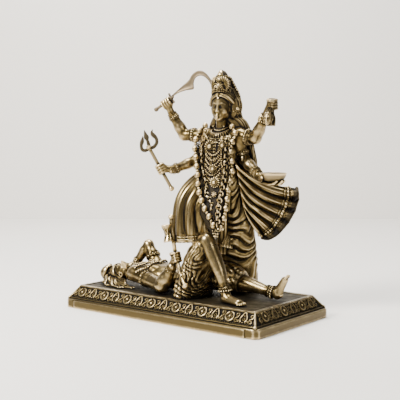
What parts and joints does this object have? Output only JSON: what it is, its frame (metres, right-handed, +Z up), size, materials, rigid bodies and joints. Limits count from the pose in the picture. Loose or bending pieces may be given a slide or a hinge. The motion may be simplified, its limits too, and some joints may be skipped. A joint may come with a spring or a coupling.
{
  "type": "kali figure",
  "caption": "Four-armed goddess with sword, trident, severed head and bowl, standing on a reclining god, on an oblong plinth with a filigree band.",
  "frame": {"origin": "centre of the plinth's underside", "axes": "+Z up, +X along the plinth's long side towards the lying figure's feet, -Y the way the goddess faces"},
  "size_m": [0.24, 0.126, 0.2407],
  "materials": {
    "antique_bronze": "resin cast with a metal finish: bronze, rubbed bright on what stands out and dark brown in the hollows",
    "plinth_bronze": "the same finish, duller and brushed on the plain faces",
    "blade_metal": "satin, paler than the figure"
  },
  "bodies": {
    "root": {"plinth": "plinth_bronze", "shiva": "antique_bronze", "shiva_staff": "antique_bronze", "kali": "antique_bronze", "sword": "blade_metal", "trident": "antique_bronze"}
  },
  "joints": []
}
